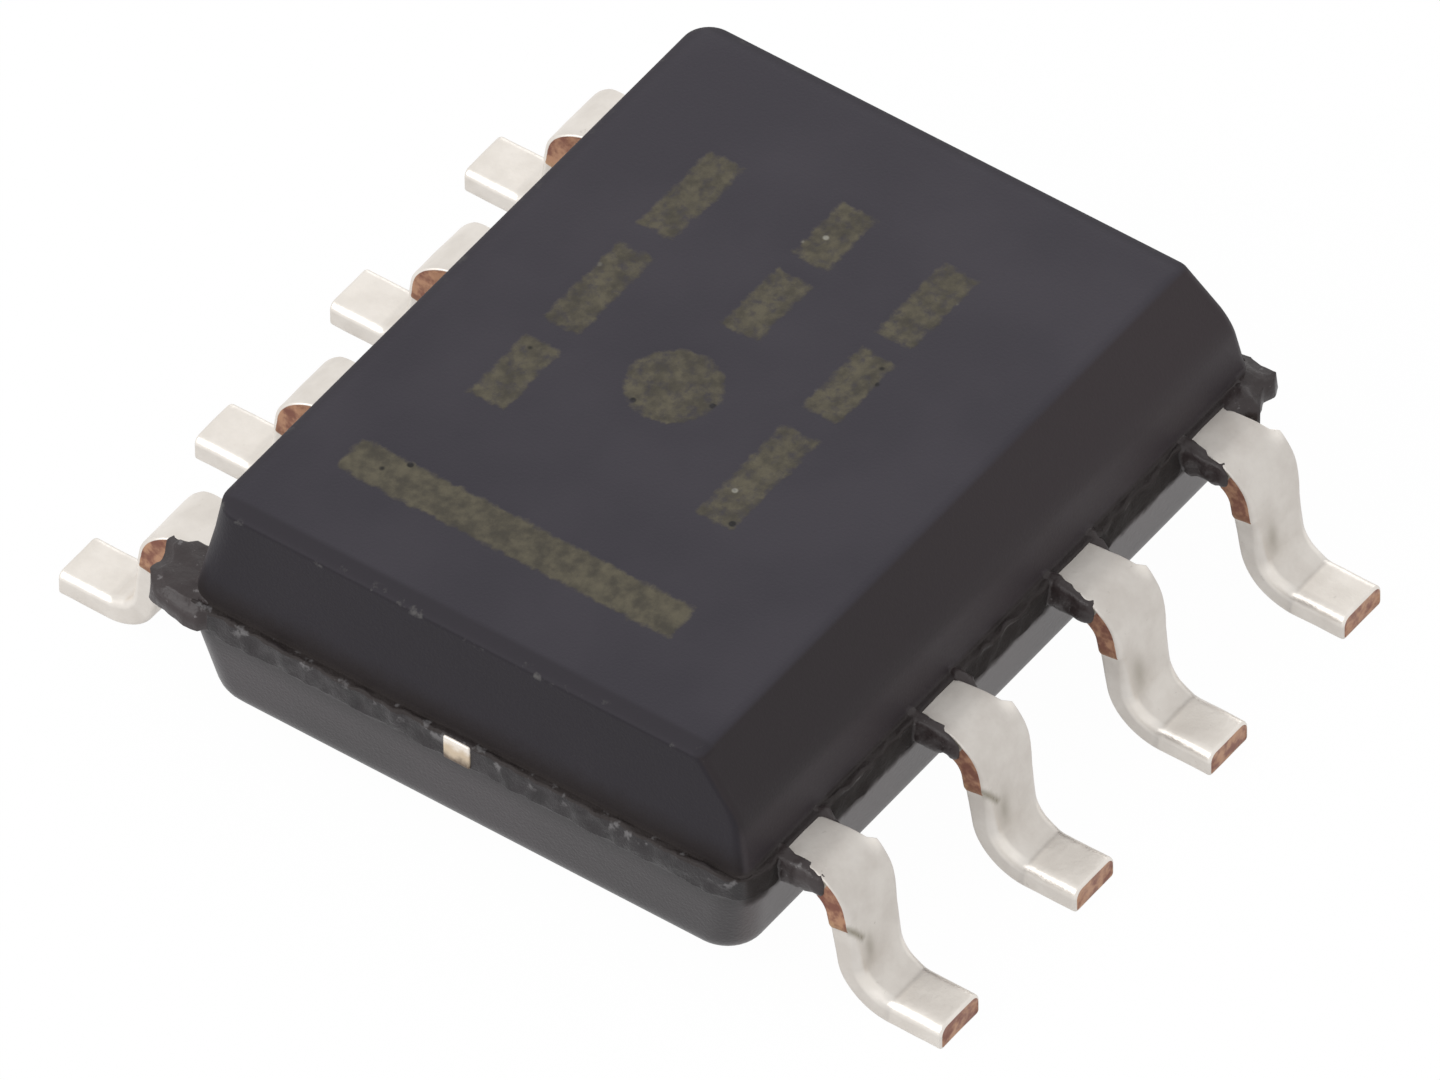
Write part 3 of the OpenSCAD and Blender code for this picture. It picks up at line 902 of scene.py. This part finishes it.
def flash_plate(outline, seed):
    """Points and faces of a broken plate of flash, as thick as the leadframe, with ragged rounded edges."""
    corners = [Vector(corner) * MM for corner in outline]
    edge = []
    for start, finish in zip(corners, corners[1:] + corners[:1]):
        steps = ceil((finish - start).length / FLASH_SPACING)
        edge += [start.lerp(finish, k / steps) for k in range(steps)]
    middle = sum(edge, Vector((0, 0))) / len(edge)
    half = HALF_THICK - FLASH_EDGE
    levels = [(FRAME_MIDDLE + copysign(half, turn) + FLASH_EDGE * sin(turn),
               FLASH_EDGE * (1 - cos(turn)) + FLASH_SLOPE * (turn > 0))
              for turn in map(radians, FLASH_TURNS)]
    rings = [(*levels[0], share) for share in FLASH_SHARES]
    rings += [(*level, 1.0) for level in levels]
    rings += [(*levels[-1], share) for share in reversed(FLASH_SHARES)]
    verts = []
    for z, inset, share in rings:
        for point in edge:
            spoke = point - middle
            place = Vector((*(middle + spoke * share), z))
            rough = waves(place, FLASH_WAVES, seed) + waves(place, FLASH_RIPPLES, seed)
            lift = SILL + waves(place, FLASH_LIFT, seed) * MM
            flat = middle + (spoke + spoke.normalized() * (rough * MM - inset)) * share
            verts.append(Vector((*flat, z + lift)))
    return closed_loft(verts, len(edge))


def resin_flash():
    """Points and faces of all the webs and plates of resin."""
    lumps = [flash_plate(outline, pin * FLASH_SEED_STEP) for (pin, _), outline in FLASHED.items()]
    for pin in range(1, PINS + 1):
        x, side = pin_place(pin)
        for hand in (-1, 1):
            if (pin, hand) not in FLASHED:
                lumps.append(resin_web(x, side, hand, pin * WEB_SEED_STEP[0] + hand * WEB_SEED_STEP[1]))
    verts, faces = [], []
    for lump, lump_faces in lumps:
        faces += [tuple(len(verts) + i for i in face) for face in lump_faces]
        verts += lump
    return verts, faces


def build_body(materials):
    """The moulding and its flash as one closed mesh."""
    body = make_object("moulded_body", *body_mesh(), materials)
    for polygon in body.data.polygons:
        polygon.material_index = LOWER if polygon.center.z < FRAME_TOP - FINISH_DROP else UPPER
    webs = make_object("resin_flash", *resin_flash(), materials)
    for polygon in webs.data.polygons:
        polygon.material_index = FLASH
    union = body.modifiers.new("flash", "BOOLEAN")
    union.operation = "UNION"
    union.solver = "MANIFOLD"
    union.object = webs
    joined = bpy.data.meshes.new_from_object(body.evaluated_get(bpy.context.evaluated_depsgraph_get()))
    body.modifiers.clear()
    body.data = joined
    bpy.data.objects.remove(webs)
    marks = [mark_at(v.co) if v.co.z > BODY_TOP - MARK_ROOM else 0.0 for v in joined.vertices]
    set_attribute(joined, "mark", marks)
    turned, facing = END_NORMAL
    ends = [clamp((abs(v.normal.x) - turned) / (facing - turned)) for v in joined.vertices]
    set_attribute(joined, "end", ends)
    return body


# Leads
def lead_stretches():
    """A lead's middle line from finger to toe, straight and bent by turns: [(length, turn downwards)]."""
    heel_outer = HEEL_RADIUS + THICKNESS
    fall = (SHOULDER_RADIUS + heel_outer) * (1 - cos(BEND))
    leg = (FRAME_BOTTOM - fall) / sin(BEND)
    heel_y = SHOULDER_END + (SHOULDER_RADIUS + heel_outer) * sin(BEND) + leg * cos(BEND)
    return [
        (SHOULDER_END - FINGER_TIP, 0.0),
        ((SHOULDER_RADIUS + HALF_THICK) * BEND, BEND),
        (leg, 0.0),
        ((HEEL_RADIUS + HALF_THICK) * BEND, -BEND),
        (FOOT_END - heel_y, 0.0),
    ]


def lead_stations(stretches):
    """Points along a lead's middle line, drawn towards +Y: [(distance along it, y, z, turn downwards)]."""
    along, y, z, turn = 0.0, FINGER_TIP, FRAME_MIDDLE, 0.0
    stations = [(along, y, z, turn)]
    for length, bend in stretches:
        steps = ceil(length / STATION_SPACING)
        step = length / steps
        for _ in range(steps):
            middle = turn + bend / steps / 2
            chord = step if not bend else 2 * length / abs(bend) * sin(abs(bend) / steps / 2)
            y += chord * cos(middle)
            z -= chord * sin(middle)
            turn += bend / steps
            along += step
            stations.append((along, y, z, turn))
    return stations


def ramp(value, marks):
    """Straight stretches between (place, level) marks."""
    for (a, low), (b, high) in zip(marks, marks[1:]):
        if value <= b:
            return low + (high - low) * max(0.0, (value - a) / (b - a))
    return marks[-1][1]


def strip_section(left, right, thickness, upper_edge, lower_edge):
    """A strip's outline across its length: [(across, up, 1 where it was sheared)]."""
    half_t = thickness / 2
    corners = [
        (1, 1, upper_edge, 0), (-1, 1, upper_edge, 90), (-1, -1, lower_edge, 180), (1, -1, lower_edge, 270),
    ]
    arcs = []
    for hand, up, radius, turn in corners:
        reach = right if hand > 0 else left
        centre = Vector((hand * (reach - radius), up * (half_t - radius)))
        angles = [radians(turn + 90 * k / ROUND_STEPS) for k in range(ROUND_STEPS + 1)]
        arcs.append([centre + radius * Vector((cos(a), sin(a))) for a in angles])
    outline = []
    for i, arc in enumerate(arcs):
        steps = SIDE_STEPS if i % 2 else ACROSS_STEPS
        following = arcs[(i + 1) % len(arcs)][0]
        outline += [(*p, float(i > 1)) for p in arc[:-1]]
        flat = [arc[-1].lerp(following, k / steps) for k in range(steps)]
        outline += [(*p, float(i % 2)) for p in flat]
    return outline


def crease_lift(turn):
    """How far a heel's upper face stands off its bend: level after the crease, straight for a while before."""
    if turn >= CREASE_TURN:
        return 0.0
    if turn < atan2(CREASE_BACK, HEEL_RADIUS):
        return HEEL_RADIUS - HEEL_RADIUS / cos(turn)
    start = -HEEL_RADIUS * Vector((sin(CREASE_TURN), cos(CREASE_TURN)))
    run = Vector((-CREASE_BACK, -HEEL_RADIUS)) - start
    ray = -Vector((sin(turn), cos(turn)))
    return HEEL_RADIUS - run.cross(start) / run.cross(ray)


def distance_to_line(point, start, finish):
    """How far a point lies from a straight stretch."""
    run = finish - start
    share = clamp((point - start).dot(run) / run.length_squared)
    return (point - start - run * share).length


def build_lead(pin, tin):
    """One formed lead, with sheared stubs, rolled edges, a creased heel and a sheared toe."""
    x, side = pin_place(pin)
    stretches = lead_stretches()
    stations = lead_stations(stretches)
    shoulder, bend_end, heel_from, heel_to, total = accumulate(length for length, _ in stretches)
    exit_at = HALF_Y - FINGER_TIP
    stub_from = shoulder + (SHOULDER_RADIUS + HALF_THICK) * STUB_START
    bare_from = stub_from - BARE_BACK[side]
    stub_to = bend_end + STUB_DROP
    crease = heel_to - CREASE_BACK
    before_crease = crease - CREASE_FADE
    flare = FLARE if side < 0 else {hand: FLARE[-1] for hand in FLARE}
    half_widths = {hand: [
        (0.0, HEAD_HALF), (HEAD_LENGTH, HEAD_HALF), (HEAD_LENGTH + HEAD_STEP, NECK_HALF),
        (exit_at - EXIT_STEP, NECK_HALF), (exit_at, EXIT_HALF),
        (stub_from - flare[hand][0], flare[hand][1]), (stub_from, STUB_HALF),
        (stub_to - run_out / 2, STUB_HALF), (stub_to + run_out / 2, LEG_HALF),
        (heel_from, LEG_HALF), (heel_to, LEAD_HALF), (total, LEAD_HALF),
    ] for hand, run_out in STUB_RUN_OUT.items()}
    upper_edges = [
        (stub_from, NECK_EDGE), (bend_end, STUB_EDGE), (stub_to, STUB_EDGE), (heel_from, ROLLED_EDGE[side]),
    ]
    film_and_shade = list(zip((shoulder, bend_end, heel_from, before_crease, crease, heel_to, total), FILM_AND_SHADE))
    burnish = list(zip((stub_from, stub_to, heel_from), BURNISH))
    heel_highlight = list(zip((heel_from, heel_from + HEEL_HIGHLIGHT_REACH, crease - HEEL_HIGHLIGHT_REACH, before_crease), HEEL_HIGHLIGHT))

    sections = [(along, y, z, turn, 0.0) for along, y, z, turn in stations if along < total - TOE_ROUND]
    last_y, last_z = stations[-1][1:3]
    for k in range(TOE_STEPS, -1, -1):
        angle = radians(90 * k / TOE_STEPS)
        gone, inset = TOE_ROUND * cos(angle), TOE_ROUND * (1 - sin(angle))
        sections.append((total, last_y - TOE_ROUND + gone, last_z, 0.0, inset))
    sections += [(total, last_y, last_z, 0.0, TOE_ROUND + extra) for extra in TOE_RINGS]

    smear_at = bend_end + (heel_from - bend_end) * SMEAR_DOWN
    smear_scale = 1 + waves((pin * MM, 0, 0), SMEAR_WAVES)
    smear_width, smear_length = (size * smear_scale for size in SMEAR_SIZE)
    scar_from = Vector((-STUB_HALF, stub_to - STUB_EDGE))
    scar_to = scar_from + Vector(SCAR_RUN)
    burr_at = Vector((STUB_HALF - BURR_INSET, stub_from))
    verts, bare, edge, stain_and_shade, dull_and_shade = [], [], [], [], []
    for along, y, z, turn, inset in sections:
        left, right = (ramp(along, half_widths[hand]) - inset for hand in (-1, 1))
        upper = max(ramp(along, upper_edges) - inset, LEAST_EDGE)
        lower = max(LOWER_EDGE - inset, LEAST_EDGE)
        raised = crease_lift(turn) if along > heel_from else 0.0
        in_stub = float(bare_from < along < stub_to)
        on_toe = float(inset > TOE_ROUND * TOE_SHARE)
        for across, up, sheared in strip_section(left, right, THICKNESS - 2 * inset, upper, lower):
            place = Vector((across, along))
            scar = max(1 - distance_to_line(place, scar_from, scar_to) / SCAR_WIDTH, 0.0) * (pin in SCARRED)
            smear = exp(-((across - SMEAR_ACROSS) / smear_width) ** 2
                        - ((along - smear_at) / smear_length) ** 2)
            # The burr also takes a painted highlight, where it takes off the film
            burr_and_highlight = exp(-(place - burr_at).length_squared / BURR_SIZE ** 2) * (side < 0)
            on_top = max(up / HALF_THICK, 0.0)
            lift = up + waves((across + x, along, side), LEAD_WAVES) * MM
            lift += (raised - scar * SCAR_DEPTH + burr_and_highlight * BURR_HEIGHT) * on_top
            rise = max(z + lift * cos(turn), 0.0)
            verts.append(Vector((x + across, side * (y + lift * sin(turn)), rise)))
            rolled = 0.0 if sheared or abs(up) > FLAT_SHARE * HALF_THICK else ramp(along, burnish)
            bare.append(max(sheared * in_stub, on_toe))
            edge.append(max(rolled, burr_and_highlight))
            marred = max(scar * SCAR_STRENGTH, smear * SMEAR_STRENGTH) * (up > UPPER_SHARE * HALF_THICK)
            # Painted shade on the sheared sides of the neck goes with the stains
            stain_and_shade.append(max(marred, sheared * NECK_SIDE_SHADE * (along <= bare_from)))
            # Painted shade and highlights: the film darkens the near leads, heels and creases, and is taken
            # off round the heel's rolled edges and at the burr
            filmed_and_shaded = ramp(along, film_and_shade) * FILM_AND_SHADE_SHARE[side] * (1 - rolled * ramp(along, heel_highlight)) * (1 - burr_and_highlight)
            dull_and_shade.append(max(filmed_and_shaded, sheared * SIDE_FILM))
    lead = make_object(f"formed_lead_{pin}", *closed_loft(verts, len(verts) // len(sections)), [tin])
    for name, values in (("bare", bare), ("edge", edge), ("stain_and_shade", stain_and_shade), ("dull_and_shade", dull_and_shade)):
        set_attribute(lead.data, name, values)
    return lead


# Leadframe centre
def build_pad(material):
    """The pad with its tie bars, stamped from the same strip, with eased edges."""
    quarter = [(HALF_X + TIE_PROUD, TIE_HALF), (PAD_HALF_X, TIE_HALF), (PAD_HALF_X, PAD_HALF_Y)]
    outline = quarter + [(-x, y) for x, y in reversed(quarter)]
    outline += [(-x, -y) for x, y in quarter] + [(x, -y) for x, y in reversed(quarter)]
    verts = [Vector((x, y, z)) for z in (FRAME_BOTTOM, FRAME_TOP) for x, y in outline]
    pad = make_object("leadframe_pad", *closed_loft(verts, len(outline)), [material])
    edges = pad.modifiers.new("edges", "BEVEL")
    edges.width = FRAME_EDGE
    edges.segments = FRAME_EDGE_STEPS
    edges.limit_method = "ANGLE"
    return pad


# Stage: how white the floor and sky look (straight from the camera, in gloss), and lamps (azimuth, elevation,
# size, brightness in times white)
FLOOR_HALF = 60 * MM
FLOOR_COLOR = (0.95, 0.95, 0.95)
FLOOR_SEEN = (0.98, 0.7)
SKY_COLOR = (0.98, 0.985, 1.0)
SKY_LEVELS = (0.45, 1.0)
SKY_SEEN = (1.0, 1.0)
WHITE = (1.0, 1.0, 1.0)
LAMP_DISTANCE = 90 * MM
LAMPS = {"left_softbox": (-120, 34, 65 * MM, 3.0), "right_softbox": (108, 22, 25 * MM, 2.0)}


def seen_share(n, straight, mirrored):
    """How much of plain white a ray sees, straight from the camera and in gloss or through glass."""
    path = n.node("LightPath")
    either = n.most(path["Is Glossy Ray"], path["Is Transmission Ray"])
    return n.math("ADD", n.times(path["Is Camera Ray"], straight), n.times(either, mirrored))


def build_floor():
    """A white floor that keeps the part's soft shadow, and is clear from below."""
    corners = [(x * FLOOR_HALF, y * FLOOR_HALF, 0) for x, y in ((-1, -1), (1, -1), (1, 1), (-1, 1))]
    mesh = bpy.data.meshes.new("floor")
    mesh.from_pydata(corners, [], [(0, 1, 2, 3)])
    floor = add_object("floor", mesh)
    material = bpy.data.materials.new("floor")
    n = Nodes(material)
    n.tree.nodes.clear()
    paper = n.node("BsdfDiffuse", {"Color": FLOOR_COLOR})[0]
    white = n.node("Emission", {"Color": WHITE})[0]
    shown = n.node("MixShader", {0: seen_share(n, *FLOOR_SEEN), 1: paper, 2: white})[0]
    clear = n.node("BsdfTransparent")[0]
    below = n.node("NewGeometry")["Backfacing"]
    final = n.node("MixShader", {0: below, 1: shown, 2: clear})[0]
    n.node("OutputMaterial", {"Surface": final})
    mesh.materials.append(material)


def build_world():
    """A soft pale sky, brighter overhead, that shows as plain white behind the part."""
    scene.world = bpy.data.worlds.new("studio")
    n = Nodes(scene.world)
    n.tree.nodes.clear()
    coords = n.node("TexCoord")["Generated"]
    upward = n.node("SeparateXYZ", {"Vector": coords})["Z"]
    sky = {"Color": SKY_COLOR, "Strength": n.scale(upward, *SKY_LEVELS)}
    light = n.node("Background", sky)[0]
    white = n.node("Background", {"Color": WHITE})[0]
    final = n.node("MixShader", {0: seen_share(n, *SKY_SEEN), 1: light, 2: white})[0]
    n.node("OutputWorld", {"Surface": final})


def aim(name, data, azimuth, elevation, place, roll=0.0):
    """Adds a lamp or camera that faces the part, at (right, up, back) as it sees; azimuth 0 is -Y."""
    a, e = radians(azimuth), radians(elevation)
    back = Vector((sin(a) * cos(e), -cos(a) * cos(e), sin(e)))
    turn = back.to_track_quat("Z", "Y").to_matrix() @ Matrix.Rotation(roll, 3, "Z")
    holder = add_object(name, data)
    holder.matrix_world = Matrix.Translation(turn @ Vector(place)) @ turn.to_4x4()
    return holder


def softbox(name, azimuth, elevation, size, radiance):
    """A square soft lamp that faces the part."""
    lamp = bpy.data.lights.new(name, "AREA")
    lamp.size = size
    lamp.energy = radiance * pi * size * size
    aim(name, lamp, azimuth, elevation, (0, 0, LAMP_DISTANCE))


# Camera, as fitted to the photograph
VIEW_AZIMUTH = -53.79
VIEW_ELEVATION = 46.06
VIEW_ROLL = radians(-0.57)
VIEW_DISTANCE = 273 * MM
CLIP = (VIEW_DISTANCE / 100, VIEW_DISTANCE * 10)
PIXELS_PER_MM = 181.12
IMAGE_WIDTH = 1440
SENSOR_WIDTH = 36.0
AIM_RIGHT = 0.002 * MM
AIM_UP = 0.323 * MM


def build_camera():
    """A long lens at the photograph's place, aimed a little above the origin."""
    data = bpy.data.cameras.new("camera")
    data.sensor_width = SENSOR_WIDTH
    data.lens = PIXELS_PER_MM * VIEW_DISTANCE / MM * SENSOR_WIDTH / IMAGE_WIDTH
    data.clip_start, data.clip_end = CLIP
    place = (AIM_RIGHT, AIM_UP, VIEW_DISTANCE)
    scene.camera = aim("camera", data, VIEW_AZIMUTH, VIEW_ELEVATION, place, VIEW_ROLL)


scene.view_settings.view_transform = "Standard"
build_camera()
build_floor()
build_world()
for name, values in LAMPS.items():
    softbox(name, *values)

tin = tin_material()
body = build_body([epoxy_material(), lower_epoxy_material(), flash_material()])
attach(body, "root")
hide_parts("body")
for pin in range(1, PINS + 1):
    lead = build_lead(pin, tin)
    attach(lead, "root")
    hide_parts(f"lead_{pin}")
pad = build_pad(frame_material())
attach(pad, "root")
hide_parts("die_pad")

wire = inner_material("bond_wire", *BOND_WIRE)
finishes = {f"bond_wire_{pin}": wire for pin in range(1, PINS + 1)}
finishes["die"] = inner_material("silicon", *SILICON)
finishes["die_attach"] = inner_material("adhesive", *ADHESIVE)
for node, finish in finishes.items():
    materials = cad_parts[node].data.materials
    materials.clear()
    materials.append(finish)
